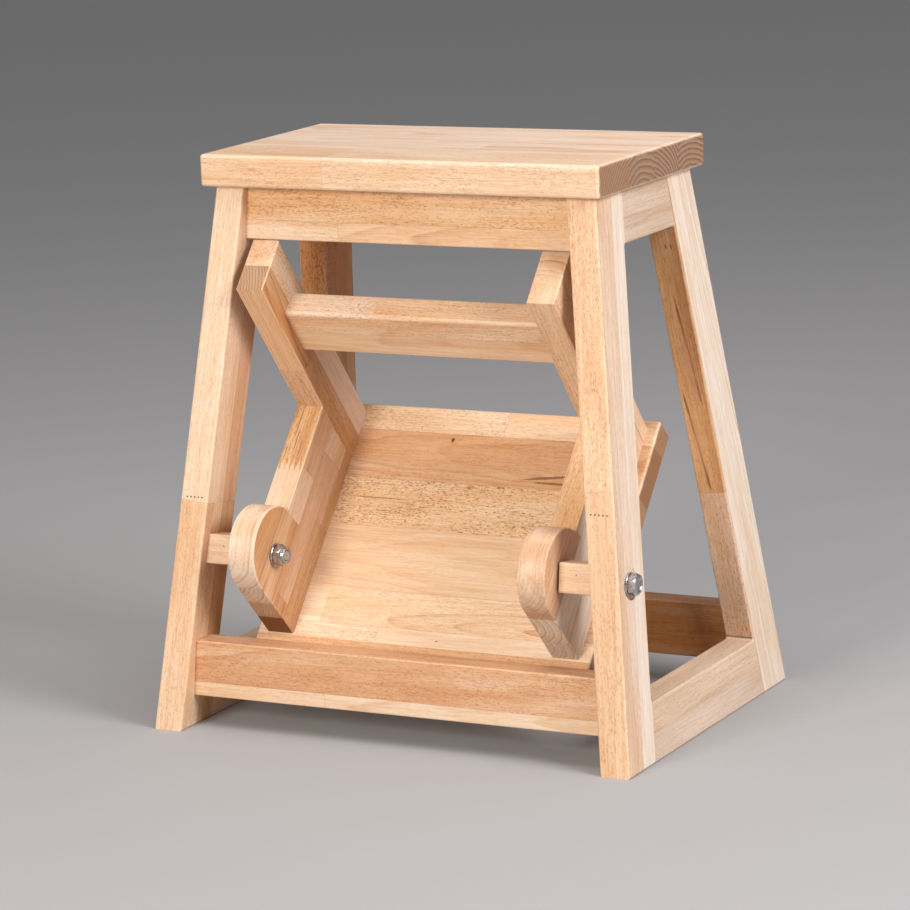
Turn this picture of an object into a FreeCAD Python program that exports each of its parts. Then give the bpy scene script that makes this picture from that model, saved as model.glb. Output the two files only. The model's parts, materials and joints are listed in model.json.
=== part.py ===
import FreeCAD, Part
import math
import os

# Step stool in beech with a step unit that flips out to the front on two bolts.
# +X is the right-hand side, +Y the rear, +Z up. The origin lies on the floor at
# the centre of the four feet. The stool is drawn folded: the step unit stands up
# between the side frames, under the seat.

# --- Seat --------------------------------------------------------------------
SEAT_HEIGHT = 500.0
SEAT_THICKNESS = 28.0
SEAT_WIDTH = 380.0
SEAT_DEPTH = 213.0
SEAT_EDGE_RADIUS = 3.0

# --- Side frames: two trapezoids that lean in towards the seat ------------------
SPLAY = 5.9
FLOOR_HALF_WIDTH = 229.7
FLOOR_HALF_DEPTH = 167.0
TOP_HALF_DEPTH = 95.0
LEG_THICKNESS = 27.0
LEG_WIDTH = 51.0
TOP_RAIL_HEIGHT = 45.4
BOTTOM_RAIL_HEIGHT = 50.0
OPENING_CORNER_RADIUS = 2.5
FRAME_EDGE_RADIUS = 2.0

# --- Rails between the side frames ---------------------------------------------
RAIL_THICKNESS = 25.0
RAIL_HEIGHT = 50.0
FRONT_RAIL_BOTTOM = 28.0
REAR_RAIL_BOTTOM = 26.0
RAIL_FACE_DEPTH = 146.5
APRON_HEIGHT = 47.0
APRON_FACE_DEPTH = 88.0
RAIL_EDGE_RADIUS = 1.5

# --- Pivot of the step unit ------------------------------------------------------
PIVOT_Y = -120.0
PIVOT_Z = 154.0
BLOCK_SIZE = 26.0
BLOCK_RISE = 2.0
BLOCK_EDGE_RADIUS = 2.0
BOLT_DIAMETER = 10.0
BOLT_LENGTH = 100.0
BOLT_HEAD_HEIGHT = 7.0
BOLT_HEAD_FLATS = 17.0
NUT_HEIGHT = 10.0
NUT_HEX_HEIGHT = 7.0
NUT_COLLAR_DIAMETER = 14.5
INSERT_DIAMETER = 12.6
INSERT_HEIGHT = 2.2
INSERT_INSET = 0.5
NUT_RIM_RADIUS = 1.0
BOLT_TIP_CHAMFER = 1.0
HEX_TURN = 10.0
TURNED_FACE_SHARE = 0.96
WASHER_DIAMETER = 20.0
WASHER_THICKNESS = 2.0
SPOT_FACE_DIAMETER = 27.0
BOLT_CLEARANCE = 0.05
SIDE_GAP = 0.3

# --- Step unit, in the plane of its own sides -------------------------------------
# s runs up along the step board and n squarely off its face, both from the pivot.
BOARD_ANGLE = 48.5
BOARD_THICKNESS = 25.0
BOARD_HALF_WIDTH = 162.5
BOARD_FACE_N = -69.5
BOARD_LOW_S = -82.0
BOARD_HIGH_S = 194.5
BOARD_EDGE_RADIUS = 3.0
CHEEK_INNER = 126.0
CHEEK_THICKNESS = 26.0
ELBOW_S = 186.0
FOOT_REAR_S = 224.5
STEP_LEG_WIDTH = 50.0
BRACKET_FRONT_N = 2.5
HEEL_S = -41.0
LOBE_RADIUS = 39.0
LOBE_MIDDLE_S = 4.0
CHEEK_EDGE_RADIUS = 1.5
STRETCHER_THICKNESS = 25.0
STRETCHER_WIDTH = 50.0
STRETCHER_FROM_FOOT = 43.0
STRETCHER_EDGE_RADIUS = 3.5

# --- Hidden beech dowels ------------------------------------------------------------
DOWEL_DIAMETER = 8.0
DOWEL_CHAMFER = 0.8
DOWEL_HOLE_CLEARANCE = 0.05
DOWEL_HOLE_EXTRA = 1.0
FRAME_DOWEL_LENGTH = 30.0
RAIL_DOWEL_LENGTH = 34.0
STEP_DOWEL_LENGTH = 36.0
RAIL_DOWEL_RISES = (12.0, 36.0)
BRACKET_DOWEL_N = (-12.0, -40.0)
BOARD_DOWEL_S = (-14.0, 40.0, 94.0, 166.0)
SEAT_DOWEL_X = 70.0

# How far a cutting shape reaches past what it cuts.
CUT_MARGIN = 10.0

X_AXIS = FreeCAD.Vector(1, 0, 0)
Y_AXIS = FreeCAD.Vector(0, 1, 0)
Z_AXIS = FreeCAD.Vector(0, 0, 1)

FRAME_TOP = SEAT_HEIGHT - SEAT_THICKNESS
SPLAY_SLOPE = math.tan(math.radians(SPLAY))
LEG_SPAN_X = LEG_THICKNESS / math.cos(math.radians(SPLAY))
LEG_RAKE = (FLOOR_HALF_DEPTH - TOP_HALF_DEPTH) / FRAME_TOP
OPENING_TOP = FRAME_TOP - TOP_RAIL_HEIGHT
SIDE_DOWEL_HEIGHTS = (14.0, 36.0, OPENING_TOP + 12.0, OPENING_TOP + 33.0)
CHEEK_OUTER = CHEEK_INNER + CHEEK_THICKNESS
CHEEK_MIDDLE = CHEEK_INNER + CHEEK_THICKNESS / 2


# --- Places on the frame and on the step unit ------------------------------------------

def outer_x(z):
    """Half width of the stool over the outer faces of the side frames."""
    return FLOOR_HALF_WIDTH - SPLAY_SLOPE * z


def inner_x(z):
    """Half width between the inner faces of the side frames."""
    return outer_x(z) - LEG_SPAN_X


def outer_y(z):
    """Half depth of a side frame over the outer edges of its legs."""
    return FLOOR_HALF_DEPTH - LEG_RAKE * z


def inner_y(z):
    """Half depth of the opening between the legs of a side frame."""
    return outer_y(z) - LEG_WIDTH


def step_point(x, s, n):
    """A point given along (s) and off (n) the step board, in stool coordinates."""
    angle = math.radians(BOARD_ANGLE)
    y = PIVOT_Y + s * math.cos(angle) - n * math.sin(angle)
    z = PIVOT_Z + s * math.sin(angle) + n * math.cos(angle)
    return FreeCAD.Vector(x, y, z)


# The step leg runs from the elbow on the board up to the foot, leaning off square.
FOOT_N = PIVOT_Z
LEG_RUN = (FOOT_REAR_S - ELBOW_S, FOOT_N - BOARD_FACE_N)
LEG_RUN_LENGTH = math.hypot(*LEG_RUN)
LEG_ALONG = (LEG_RUN[0] / LEG_RUN_LENGTH, LEG_RUN[1] / LEG_RUN_LENGTH)
LEG_ACROSS = (-LEG_ALONG[1], LEG_ALONG[0])
FOOT_FRONT_S = FOOT_REAR_S - STEP_LEG_WIDTH / LEG_ALONG[1]


def leg_front_s(n):
    """Where the front edge of the step leg is, at a given distance off the board."""
    return FOOT_FRONT_S - (FOOT_N - n) * LEG_ALONG[0] / LEG_ALONG[1]


# --- Solids -------------------------------------------------------------------------------

def solid_of(shape):
    """The one solid in the result of a cut or a common."""
    solids = shape.removeSplitter().Solids
    if len(solids) != 1:
        raise ValueError("expected one solid, got %d" % len(solids))
    return solids[0]


def mirrored(shape):
    """The same piece for the left-hand side."""
    return shape.mirror(FreeCAD.Vector(0, 0, 0), X_AXIS)


def prism(points, run):
    """A closed outline pushed along a vector."""
    face = Part.Face(Part.makePolygon(points + points[:1]))
    return face.extrude(run)


def box_between(low, high):
    """A box from its lowest corner to its highest."""
    low = FreeCAD.Vector(*low)
    size = FreeCAD.Vector(*high) - low
    return Part.makeBox(size.x, size.y, size.z, low)


def rod(diameter, start, end):
    """A round bar between two points."""
    run = end - start
    return Part.makeCylinder(diameter / 2, run.Length, start, run)


def eased(shape, radius, wanted=lambda edge: True):
    """Round the edges that a test picks out."""
    edges = [edge for edge in shape.Edges if wanted(edge)]
    return shape.makeFillet(radius, edges)


def runs_along(edge, axis):
    """True for a straight edge parallel to an axis."""
    if not isinstance(edge.Curve, Part.Line):
        return False
    return abs(edge.tangentAt(edge.FirstParameter).dot(axis)) > 0.999


def ring(outer, inner, start, end):
    """A washer-shaped ring between two points on its axis."""
    return rod(outer, start, end).cut(rod(inner, start, end))


def circles_at(shape, x):
    """The round edges of a turned shape that lie at one place along X."""
    return [e for e in shape.Edges if isinstance(e.Curve, Part.Circle) and abs(e.CenterOfMass.x - x) < 0.01]


# --- Dowels ----------------------------------------------------------------------------------

class Dowel:
    """A dowel across a joint, given by its middle, its direction and its length."""

    def __init__(self, middle, direction, length):
        half = FreeCAD.Vector(direction).normalize() * (length / 2)
        self.start = middle - half
        self.end = middle + half

    def solid(self):
        pin = rod(DOWEL_DIAMETER, self.start, self.end)
        rims = [e for e in pin.Edges if isinstance(e.Curve, Part.Circle)]
        return pin.makeChamfer(DOWEL_CHAMFER, rims)

    def hole(self):
        extra = (self.end - self.start).normalize() * DOWEL_HOLE_EXTRA
        return rod(DOWEL_DIAMETER + 2 * DOWEL_HOLE_CLEARANCE, self.start - extra, self.end + extra)


def both_sides(middle, direction, length):
    """The same dowel on the right and on the left."""
    left_middle = FreeCAD.Vector(-middle.x, middle.y, middle.z)
    left_direction = FreeCAD.Vector(-direction.x, direction.y, direction.z)
    return [Dowel(middle, direction, length), Dowel(left_middle, left_direction, length)]


def side_frame_dowels():
    """Two dowels in each joint between a leg and a rail of the side frames."""
    dowels = []
    for z in SIDE_DOWEL_HEIGHTS:
        for way in (-1, 1):
            middle = FreeCAD.Vector(outer_x(z) - LEG_SPAN_X / 2, way * inner_y(z), z)
            dowels += both_sides(middle, Y_AXIS, FRAME_DOWEL_LENGTH)
    return dowels


def cross_rail_dowels():
    """Two dowels in each end of the two rails and the two aprons."""
    dowels = []
    apron_bottom = FRAME_TOP - APRON_HEIGHT
    middle_depths = (
        (-(RAIL_FACE_DEPTH - RAIL_THICKNESS / 2), FRONT_RAIL_BOTTOM),
        (RAIL_FACE_DEPTH - RAIL_THICKNESS / 2, REAR_RAIL_BOTTOM),
        (-(APRON_FACE_DEPTH - RAIL_THICKNESS / 2), apron_bottom),
        (APRON_FACE_DEPTH - RAIL_THICKNESS / 2, apron_bottom),
    )
    for y, bottom in middle_depths:
        for rise in RAIL_DOWEL_RISES:
            z = bottom + rise
            dowels += both_sides(FreeCAD.Vector(inner_x(z), y, z), X_AXIS, RAIL_DOWEL_LENGTH)
    return dowels


def seat_dowels():
    """Upright dowels from the aprons and the top rails into the seat."""
    dowels = []
    for way in (-1, 1):
        y = way * (APRON_FACE_DEPTH - RAIL_THICKNESS / 2)
        dowels += both_sides(FreeCAD.Vector(SEAT_DOWEL_X, y, FRAME_TOP), Z_AXIS, FRAME_DOWEL_LENGTH)
    top_rail_x = outer_x(FRAME_TOP) - LEG_SPAN_X / 2
    return dowels + both_sides(FreeCAD.Vector(top_rail_x, 0, FRAME_TOP), Z_AXIS, FRAME_DOWEL_LENGTH)


def stretcher_dowels():
    """Two dowels in each end of the step stretcher."""
    dowels = []
    for share in (0.25, 0.75):
        s, n = stretcher_corner(STRETCHER_THICKNESS / 2, share * STRETCHER_WIDTH)
        dowels += both_sides(step_point(CHEEK_INNER, s, n), X_AXIS, STEP_DOWEL_LENGTH)
    return dowels


def bracket_dowels():
    """Two dowels where each bracket butts against its step leg."""
    direction = step_point(0, *LEG_ACROSS) - step_point(0, 0, 0)
    dowels = []
    for n in BRACKET_DOWEL_N:
        dowels += both_sides(step_point(CHEEK_MIDDLE, leg_front_s(n), n), direction, STEP_DOWEL_LENGTH)
    return dowels


def board_dowels():
    """Dowels from the brackets and the step legs into the step board."""
    direction = step_point(0, 0, 1) - step_point(0, 0, 0)
    dowels = []
    for s in BOARD_DOWEL_S:
        dowels += both_sides(step_point(CHEEK_MIDDLE, s, BOARD_FACE_N), direction, STEP_DOWEL_LENGTH)
    return dowels


# --- Seat and side frames -----------------------------------------------------------------------

def seat_board():
    half_x = SEAT_WIDTH / 2
    half_y = SEAT_DEPTH / 2
    board = box_between((-half_x, -half_y, FRAME_TOP), (half_x, half_y, SEAT_HEIGHT))
    return eased(board, SEAT_EDGE_RADIUS)


def frame_slab(outline):
    """A part of the right side frame: an outline of (y, z) on its leaning outer face."""
    points = [FreeCAD.Vector(outer_x(z), y, z) for y, z in outline]
    return prism(points, X_AXIS * -LEG_SPAN_X)


def whole_side_frame():
    """The right side frame before it is parted into legs and rails."""
    top = FRAME_TOP
    outline = [(-outer_y(0), 0), (outer_y(0), 0), (outer_y(top), top), (-outer_y(top), top)]
    low, high = BOTTOM_RAIL_HEIGHT, OPENING_TOP
    wide, narrow = inner_y(low), inner_y(high)
    opening = frame_slab([(-wide, low), (wide, low), (narrow, high), (-narrow, high)])
    opening = eased(opening, OPENING_CORNER_RADIUS, lambda e: runs_along(e, X_AXIS))
    frame = frame_slab(outline).cut(opening)
    return eased(frame, FRAME_EDGE_RADIUS, lambda e: not touches_seat(e) and not runs_along(e, X_AXIS))


def touches_seat(edge):
    """True for an edge that lies against the underside of the seat."""
    return min(v.Z for v in edge.Vertexes) > FRAME_TOP - 0.01


def parted(whole, outline):
    """The piece of a side frame inside an outline of (y, z)."""
    reach = FLOOR_HALF_WIDTH + CUT_MARGIN
    points = [FreeCAD.Vector(0, y, z) for y, z in outline]
    return solid_of(whole.common(prism(points, X_AXIS * reach)))


def side_frame_pieces():
    """The two legs and two rails of the right side frame."""
    whole = whole_side_frame()
    front = -outer_y(0) - CUT_MARGIN
    leg = [(front, 0), (-inner_y(0), 0), (-inner_y(FRAME_TOP), FRAME_TOP), (front, FRAME_TOP)]
    rail_low = [(-inner_y(0), 0), (inner_y(0), 0), (inner_y(FRAME_TOP / 2), FRAME_TOP / 2),
                (-inner_y(FRAME_TOP / 2), FRAME_TOP / 2)]
    rail_high = [(-inner_y(FRAME_TOP / 2), FRAME_TOP / 2), (inner_y(FRAME_TOP / 2), FRAME_TOP / 2),
                 (inner_y(FRAME_TOP), FRAME_TOP), (-inner_y(FRAME_TOP), FRAME_TOP)]
    return {
        "front_leg": parted(whole, leg),
        "rear_leg": parted(whole, [(-y, z) for y, z in reversed(leg)]),
        "bottom_rail": parted(whole, rail_low),
        "top_rail": parted(whole, rail_high),
    }


def cross_rail(face_y, back_y, bottom, height):
    """A rail between the side frames, its ends cut to their lean."""
    top = bottom + height
    wide, narrow = inner_x(bottom), inner_x(top)
    outline = [(wide, bottom), (narrow, top), (-narrow, top), (-wide, bottom)]
    rail = prism([FreeCAD.Vector(x, face_y, z) for x, z in outline], Y_AXIS * (back_y - face_y))
    return eased(rail, RAIL_EDGE_RADIUS, lambda e: runs_along(e, X_AXIS))


# --- Pivot ---------------------------------------------------------------------------------------

def pivot_point(x):
    return FreeCAD.Vector(x, PIVOT_Y, PIVOT_Z)


# The spot face is cut square to the bolt until it just breaks out at its top.
SPOT_FACE_X = outer_x(PIVOT_Z + SPOT_FACE_DIAMETER / 2)
HEAD_SEAT_X = SPOT_FACE_X + WASHER_THICKNESS
SPACER_X = CHEEK_OUTER + SIDE_GAP
NUT_SEAT_X = CHEEK_INNER - SIDE_GAP - WASHER_THICKNESS


def pivot_block():
    """The square block between the front leg and the bracket, raked with the leg."""
    start_x = SPACER_X + WASHER_THICKNESS
    half = BLOCK_SIZE / 2
    middle = pivot_point(start_x) + Z_AXIS * BLOCK_RISE
    low = middle - (Y_AXIS + Z_AXIS) * half
    bar = Part.makeBox(BLOCK_SIZE * 2, BLOCK_SIZE, BLOCK_SIZE, low)
    bar = eased(bar, BLOCK_EDGE_RADIUS, lambda e: runs_along(e, X_AXIS))
    bar.rotate(middle, X_AXIS, -math.degrees(math.atan(LEG_RAKE)))
    bottom, top = middle.z - BLOCK_SIZE, middle.z + BLOCK_SIZE
    outline = [(start_x, bottom), (inner_x(bottom), bottom), (inner_x(top), top), (start_x, top)]
    points = [FreeCAD.Vector(x, PIVOT_Y - BLOCK_SIZE, z) for x, z in outline]
    block = bar.common(prism(points, Y_AXIS * (2 * BLOCK_SIZE)))
    return solid_of(block.cut(bolt_hole()))


def bolt_hole():
    diameter = BOLT_DIAMETER + 2 * BOLT_CLEARANCE
    return rod(diameter, pivot_point(CHEEK_INNER - CUT_MARGIN), pivot_point(FLOOR_HALF_WIDTH))


def spot_face():
    return rod(SPOT_FACE_DIAMETER, pivot_point(SPOT_FACE_X), pivot_point(FLOOR_HALF_WIDTH + CUT_MARGIN))


def turned_hexagon(flats, start_x, end_x):
    """A six-sided bar along X whose outer corners are turned off at 30 degrees."""
    corner = flats / math.sqrt(3)
    angles = [math.radians(60 * k + HEX_TURN) for k in range(6)]
    points = [pivot_point(start_x) + Y_AXIS * (corner * math.cos(a)) + Z_AXIS * (corner * math.sin(a))
              for a in angles]
    bar = prism(points, X_AXIS * (end_x - start_x))
    length = abs(end_x - start_x)
    face_radius = flats * TURNED_FACE_SHARE / 2
    spread = length / math.tan(math.radians(30))
    turned = Part.makeCone(face_radius + spread, face_radius, length, pivot_point(start_x),
                           X_AXIS * (end_x - start_x))
    return bar.common(turned)


def pivot_bolt():
    """Hexagon-head bolt, head outside the frame and point towards the middle."""
    shank = rod(BOLT_DIAMETER, pivot_point(HEAD_SEAT_X), pivot_point(HEAD_SEAT_X - BOLT_LENGTH))
    tip = HEAD_SEAT_X - BOLT_LENGTH
    shank = shank.makeChamfer(BOLT_TIP_CHAMFER, circles_at(shank, tip))
    head = turned_hexagon(BOLT_HEAD_FLATS, HEAD_SEAT_X, HEAD_SEAT_X + BOLT_HEAD_HEIGHT)
    return solid_of(shank.fuse(head))


def lock_nut():
    """Hexagon lock nut with a round collar that holds the nylon ring."""
    hex_end = NUT_SEAT_X - NUT_HEX_HEIGHT
    nut_end = NUT_SEAT_X - NUT_HEIGHT
    body = turned_hexagon(BOLT_HEAD_FLATS, NUT_SEAT_X, hex_end)
    collar = rod(NUT_COLLAR_DIAMETER, pivot_point(hex_end), pivot_point(nut_end))
    nut = body.fuse(collar.makeFillet(NUT_RIM_RADIUS, circles_at(collar, nut_end)))
    bore = rod(BOLT_DIAMETER, pivot_point(NUT_SEAT_X), pivot_point(nut_end))
    pocket_end = nut_end + INSERT_INSET + INSERT_HEIGHT
    pocket = rod(INSERT_DIAMETER, pivot_point(pocket_end), pivot_point(nut_end))
    return solid_of(nut.cut(bore).cut(pocket))


def nut_insert():
    """The nylon ring in the lock nut."""
    start = NUT_SEAT_X - NUT_HEIGHT + INSERT_INSET
    return ring(INSERT_DIAMETER, BOLT_DIAMETER, pivot_point(start), pivot_point(start + INSERT_HEIGHT))


def washer(start_x):
    bore = BOLT_DIAMETER + 4 * BOLT_CLEARANCE
    return ring(WASHER_DIAMETER, bore, pivot_point(start_x), pivot_point(start_x + WASHER_THICKNESS))


# --- Step unit ----------------------------------------------------------------------------------------

def cheek_outline():
    """Outline of a bracket and its step leg together, as edges at the inner face."""
    heel_run = HEEL_S - LOBE_MIDDLE_S
    heel_angle = math.atan2(BOARD_FACE_N, heel_run)
    heel_distance = math.hypot(BOARD_FACE_N, heel_run)
    flank_angle = heel_angle - math.acos(LOBE_RADIUS / heel_distance)
    flank_s = LOBE_MIDDLE_S + LOBE_RADIUS * math.cos(flank_angle)
    flank = (flank_s, LOBE_RADIUS * math.sin(flank_angle))
    neck_s = LOBE_MIDDLE_S + math.sqrt(LOBE_RADIUS ** 2 - BRACKET_FRONT_N ** 2)
    neck = (neck_s, BRACKET_FRONT_N)
    corners = [
        flank,
        (HEEL_S, BOARD_FACE_N),
        (ELBOW_S, BOARD_FACE_N),
        (FOOT_REAR_S, FOOT_N),
        (FOOT_FRONT_S, FOOT_N),
        (leg_front_s(BRACKET_FRONT_N), BRACKET_FRONT_N),
        neck,
    ]
    points = [step_point(CHEEK_INNER, s, n) for s, n in corners]
    edges = [Part.makeLine(a, b) for a, b in zip(points, points[1:])]
    crown = step_point(CHEEK_INNER, LOBE_MIDDLE_S, LOBE_RADIUS)
    edges.append(Part.Arc(points[-1], crown, points[0]).toShape())
    return Part.Wire(edges)


def whole_cheek():
    """The right bracket and step leg before they are parted."""
    cheek = Part.Face(cheek_outline()).extrude(X_AXIS * CHEEK_THICKNESS)
    return eased(cheek, CHEEK_EDGE_RADIUS, lambda e: not runs_along(e, X_AXIS) and not on_board(e))


def on_board(edge):
    """True for an edge that lies on the face of the step board."""
    square = step_point(0, 0, 1) - step_point(0, 0, 0)
    face = step_point(0, 0, BOARD_FACE_N)
    return all(abs((v.Point - face).dot(square)) < 0.01 for v in edge.Vertexes)


def step_leg_and_bracket():
    """The right step leg and bracket, parted along the front edge of the leg."""
    whole = whole_cheek()
    low, high = BOARD_FACE_N - CUT_MARGIN, FOOT_N + CUT_MARGIN
    behind = 3 * STEP_LEG_WIDTH
    corners = [(leg_front_s(low), low), (leg_front_s(low) + behind, low),
               (leg_front_s(high) + behind, high), (leg_front_s(high), high)]
    side = prism([step_point(0, s, n) for s, n in corners], X_AXIS * (CHEEK_OUTER + CUT_MARGIN))
    return solid_of(whole.common(side)), solid_of(whole.cut(side))


def stretcher_corner(across, along):
    """A point across and down the step leg, from the foot of its front edge."""
    start = STRETCHER_FROM_FOOT + along
    inset = (STEP_LEG_WIDTH - STRETCHER_THICKNESS) / 2 + across
    s = FOOT_FRONT_S - start * LEG_ALONG[0] - inset * LEG_ACROSS[0]
    n = FOOT_N - start * LEG_ALONG[1] - inset * LEG_ACROSS[1]
    return s, n


def step_stretcher():
    """The beam between the two step legs."""
    corners = [stretcher_corner(0, 0), stretcher_corner(STRETCHER_THICKNESS, 0),
               stretcher_corner(STRETCHER_THICKNESS, STRETCHER_WIDTH), stretcher_corner(0, STRETCHER_WIDTH)]
    beam = prism([step_point(-CHEEK_INNER, s, n) for s, n in corners], X_AXIS * (2 * CHEEK_INNER))
    return eased(beam, STRETCHER_EDGE_RADIUS, lambda e: runs_along(e, X_AXIS))


def step_board():
    """The tread of the step, longer than the brackets are apart."""
    back = BOARD_FACE_N - BOARD_THICKNESS
    low, high = BOARD_LOW_S, BOARD_HIGH_S
    corners = [(low, BOARD_FACE_N), (high, BOARD_FACE_N), (high, back), (low, back)]
    board = prism([step_point(-BOARD_HALF_WIDTH, s, n) for s, n in corners], X_AXIS * (2 * BOARD_HALF_WIDTH))
    return eased(board, BOARD_EDGE_RADIUS)


# --- The whole stool -------------------------------------------------------------------------------------

def drilled(shape, dowels):
    """A piece with the dowel holes that reach into it."""
    for dowel in dowels:
        hole = dowel.hole()
        if shape.BoundBox.intersect(hole.BoundBox):
            shape = shape.cut(hole)
    return solid_of(shape)


def frame_pieces():
    """Every wooden piece of the fixed frame, by name."""
    dowels = side_frame_dowels() + cross_rail_dowels() + seat_dowels()
    pieces = {"seat_board": drilled(seat_board(), seat_dowels())}
    for name, piece in side_frame_pieces().items():
        if name == "front_leg":
            piece = piece.cut(spot_face()).cut(bolt_hole())
        piece = drilled(piece, dowels)
        pieces["right_" + name] = piece
        pieces["left_" + name] = mirrored(piece)
    rail_back = RAIL_FACE_DEPTH - RAIL_THICKNESS
    apron_back = APRON_FACE_DEPTH - RAIL_THICKNESS
    apron_bottom = FRAME_TOP - APRON_HEIGHT
    rails = {
        "front_bottom_rail": cross_rail(-RAIL_FACE_DEPTH, -rail_back, FRONT_RAIL_BOTTOM, RAIL_HEIGHT),
        "rear_bottom_rail": cross_rail(rail_back, RAIL_FACE_DEPTH, REAR_RAIL_BOTTOM, RAIL_HEIGHT),
        "front_apron": cross_rail(-APRON_FACE_DEPTH, -apron_back, apron_bottom, APRON_HEIGHT),
        "rear_apron": cross_rail(apron_back, APRON_FACE_DEPTH, apron_bottom, APRON_HEIGHT),
    }
    for name, rail in rails.items():
        pieces[name] = drilled(rail, dowels)
    pieces["right_pivot_block"] = pivot_block()
    pieces["left_pivot_block"] = mirrored(pivot_block())
    return pieces


def hardware_pieces():
    """The bolts, nuts and washers of the pivot, by name."""
    pieces = {}
    right = {"pivot_bolt": pivot_bolt(), "lock_nut": lock_nut(), "nut_insert": nut_insert()}
    for name, piece in right.items():
        pieces["right_" + name] = piece
        pieces["left_" + name] = mirrored(piece)
    washers = {"head_washers": SPOT_FACE_X, "spacer_washers": SPACER_X, "nut_washers": NUT_SEAT_X}
    for name, start_x in washers.items():
        pieces[name] = Part.makeCompound([washer(start_x), mirrored(washer(start_x))])
    return pieces


def step_pieces():
    """Every wooden piece of the step unit, by name."""
    dowels = stretcher_dowels() + bracket_dowels() + board_dowels()
    leg, bracket = step_leg_and_bracket()
    leg = drilled(leg, dowels)
    bracket = drilled(bracket.cut(bolt_hole()), dowels)
    return {
        "right_step_leg": leg,
        "left_step_leg": mirrored(leg),
        "right_bracket": bracket,
        "left_bracket": mirrored(bracket),
        "step_board": drilled(step_board(), dowels),
        "step_stretcher": drilled(step_stretcher(), dowels),
    }


def dowel_groups():
    """The hidden dowels, one group of solids for each kind of joint."""
    groups = {
        "side_frame_dowels": side_frame_dowels(),
        "cross_rail_dowels": cross_rail_dowels(),
        "seat_dowels": seat_dowels(),
        "stretcher_dowels": stretcher_dowels(),
        "bracket_dowels": bracket_dowels(),
        "board_dowels": board_dowels(),
    }
    return {name: Part.makeCompound([dowel.solid() for dowel in group]) for name, group in groups.items()}


def main():
    os.makedirs("parts", exist_ok=True)
    pieces = {**frame_pieces(), **hardware_pieces(), **step_pieces(), **dowel_groups()}
    for name, shape in pieces.items():
        shape.exportStep("parts/%s.step" % name)


main()
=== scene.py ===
import json
import math
import bmesh
import bpy
import numpy as np
from mathutils import Matrix, Vector

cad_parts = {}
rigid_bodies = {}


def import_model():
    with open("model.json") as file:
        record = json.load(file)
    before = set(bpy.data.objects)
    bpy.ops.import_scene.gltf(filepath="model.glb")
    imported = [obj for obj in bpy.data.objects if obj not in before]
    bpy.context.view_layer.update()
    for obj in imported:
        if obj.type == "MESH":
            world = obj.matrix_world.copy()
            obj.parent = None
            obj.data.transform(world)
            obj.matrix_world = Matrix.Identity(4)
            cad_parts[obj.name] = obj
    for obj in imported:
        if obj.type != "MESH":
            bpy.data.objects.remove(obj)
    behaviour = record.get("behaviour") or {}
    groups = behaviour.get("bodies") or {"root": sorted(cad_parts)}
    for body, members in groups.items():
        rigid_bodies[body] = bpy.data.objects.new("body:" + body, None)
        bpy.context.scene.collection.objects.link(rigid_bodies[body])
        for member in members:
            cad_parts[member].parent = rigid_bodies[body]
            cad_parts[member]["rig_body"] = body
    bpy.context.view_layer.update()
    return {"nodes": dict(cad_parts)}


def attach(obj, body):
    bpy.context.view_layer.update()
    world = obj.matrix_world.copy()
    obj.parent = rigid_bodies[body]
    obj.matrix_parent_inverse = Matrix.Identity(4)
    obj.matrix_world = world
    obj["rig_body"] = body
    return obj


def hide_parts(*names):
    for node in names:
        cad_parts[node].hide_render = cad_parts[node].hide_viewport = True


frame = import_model()

MM = 0.001
draw = np.random.RandomState(20261118)


# --------------------------------------------------------------------------
# Small helpers
# --------------------------------------------------------------------------

def link(obj):
    bpy.context.scene.collection.objects.link(obj)
    return obj


def smooth_by_angle(mesh, degrees):
    mesh.polygons.foreach_set("use_smooth", [True] * len(mesh.polygons))
    mesh.set_sharp_from_angle(angle=math.radians(degrees))


def weighted(obj):
    """Flat faces keep their own normal and rounded edges blend into them."""
    modifier = obj.modifiers.new("weighted normals", "WEIGHTED_NORMAL")
    modifier.mode = "FACE_AREA"
    modifier.weight = 50
    modifier.keep_sharp = True


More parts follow.
